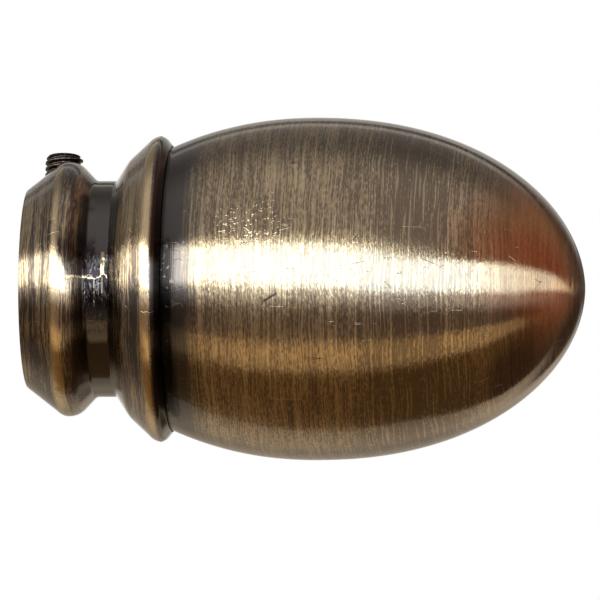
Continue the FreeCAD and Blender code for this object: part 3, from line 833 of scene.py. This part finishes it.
light = w.mix(w.math("MULTIPLY", w.window(dx, 0.22, 1.0, 0.10), w.math("MULTIPLY", w.math("MULTIPLY", w.ramp(dy, 0.75, 0.92), w.ramp(dz, 0.42, 0.49)), 0.50)), light, rgb(0.10, 0.07, 0.05))
behind = w.math("MULTIPLY", w.ramp(dy, 0.82, 0.93), w.math("MULTIPLY", w.ramp(dx, -0.06, 0.06), w.window(dz, 0.15, 0.33, 0.03)))
light = w.mix(w.math("MULTIPLY", behind, 0.85), light, rgb(0.06, 0.035, 0.025))
corner = w.math("MULTIPLY", w.math("MULTIPLY", w.ramp(dx, 0.345, 0.395), w.ramp(dy, 0.55, 0.80)), w.window(dz, -0.25, 0.12, 0.05))
light = w.mix(w.math("MULTIPLY", corner, 0.85), light, rgb(0.060, 0.036, 0.024))
# the softbox's outline, as the height of its edges over the swing; it wraps round both ends
top = swept([(-1.5, 0.14), (-1.33, 0.18), (-1.0, 0.28), (-0.90, 0.31), (-0.74, 0.33), (0.0, 0.305), (0.12, 0.26),
             (0.20, 0.195), (0.28, 0.155), (0.59, 0.172), (0.80, 0.190), (1.05, 0.198), (1.19, 0.186), (1.35, 0.13), (1.6, 0.10)])
low = swept([(-1.5, 0.12), (-1.33, 0.10), (-1.0, 0.04), (-0.90, 0.03), (-0.78, -0.02), (-0.65, -0.08), (-0.45, -0.11),
             (-0.33, -0.13), (-0.19, -0.17), (0.0, -0.20), (0.19, -0.25), (0.33, -0.24), (0.59, -0.17), (0.78, -0.125),
             (1.0, 0.00), (1.19, 0.06), (1.35, 0.10), (1.6, 0.14)])
soft = swept([(-1.6, 0.06), (0.80, 0.06), (1.05, 0.045), (1.35, 0.03), (1.6, 0.03)])
power = swept([(-1.6, 0.0), (-1.33, 2.0), (-1.0, 3.4), (-0.80, 4.8), (-0.61, 10.0), (-0.45, 7.4), (0.45, 6.8), (0.62, 4.6), (0.80, 3.4),
               (1.0, 2.6), (1.27, 2.2), (1.42, 1.2), (1.55, 0.0)])
box = w.math("MULTIPLY", w.ramp(dz, w.math("SUBTRACT", low, soft), w.math("ADD", low, soft)),
             w.ramp(dz, w.math("SUBTRACT", top, soft), w.math("ADD", top, soft), 1.0, 0.0))
box = w.math("MULTIPLY", box, power)
skirt = w.math("MULTIPLY", w.ramp(dz, w.math("SUBTRACT", low, 0.26), w.math("SUBTRACT", low, 0.08)),
               w.ramp(dz, w.math("SUBTRACT", low, 0.05), w.math("ADD", low, 0.08), 1.0, 0.0))
skirt = w.math("MULTIPLY", skirt, swept([(-1.5, 0.0), (-1.0, 0.3), (-0.40, 1.2), (0.50, 1.3), (1.0, 0.3), (1.4, 0.0)]))
box_tint = w.mix(w.ramp(dz, 0.02, 0.34), rgb(0.80, 1.01, 1.16), rgb(0.86, 1.02, 1.02))
box_tint = w.mix(w.ramp(swing, -0.27, -0.50), box_tint, rgb(1.00, 1.00, 0.90))
box_tint = w.mix(w.ramp(swing, 0.55, 0.95), box_tint, rgb(0.80, 0.92, 0.90))
box_tint = w.mix(w.ramp(swing, 1.05, 1.35), box_tint, rgb(0.93, 0.83, 0.58))
light = w.mix(1.0, light, w.mix(1.0, box_tint, w.xyz(box, box, box), "MULTIPLY"), "ADD")
light = w.mix(1.0, light, w.mix(1.0, rgb(0.96, 1.02, 1.06), w.xyz(skirt, skirt, skirt), "MULTIPLY"), "ADD")
seen = w.add("ShaderNodeBackground")
w.put(rgb(1.0, 1.0, 1.0), seen.inputs[0])
seen.inputs[1].default_value = 1.0
lit = w.add("ShaderNodeBackground")
w.put(light, lit.inputs[0])
lit.inputs[1].default_value = 1.0
path = w.add("ShaderNodeLightPath")
choose = w.add("ShaderNodeMixShader")
w.put(path.outputs["Is Camera Ray"], choose.inputs[0])
w.put(lit.outputs[0], choose.inputs[1])
w.put(seen.outputs[0], choose.inputs[2])
wout = w.add("ShaderNodeOutputWorld")
w.put(choose.outputs[0], wout.inputs["Surface"])

bpy.context.scene.view_settings.view_transform = "Standard"
bpy.context.scene.view_settings.look = "None"

# ------------------------------------------------------------------- camera
# The photograph's frame is 600 x 600 with 7.59 px to the millimetre at the part.
az, el, dist = math.radians(4.8), math.radians(-13.0), 1.30
back = Vector((math.sin(az) * math.cos(el), -math.cos(az) * math.cos(el), math.sin(el)))
right = Vector((1.0, 0.0, 0.0))
right = (right - back * right.dot(back)).normalized()      # the part's axis lies level in the frame
up = back.cross(right)
px = 7.59
aim = right * ((300.0 - 29.0) / px * MM) + up * (-(300.0 - 289.0) / px * MM)
cam_data = bpy.data.cameras.new("camera")
cam = bpy.data.objects.new("camera", cam_data)
bpy.context.scene.collection.objects.link(cam)
cam.location = aim + back * dist
cam.rotation_euler = Matrix((right, up, back)).transposed().to_euler()
cam_data.sensor_width = 36.0
cam_data.lens = 36.0 * dist / (600.0 / px * MM)
cam_data.clip_start = 0.05
cam_data.clip_end = 40.0
bpy.context.scene.camera = cam
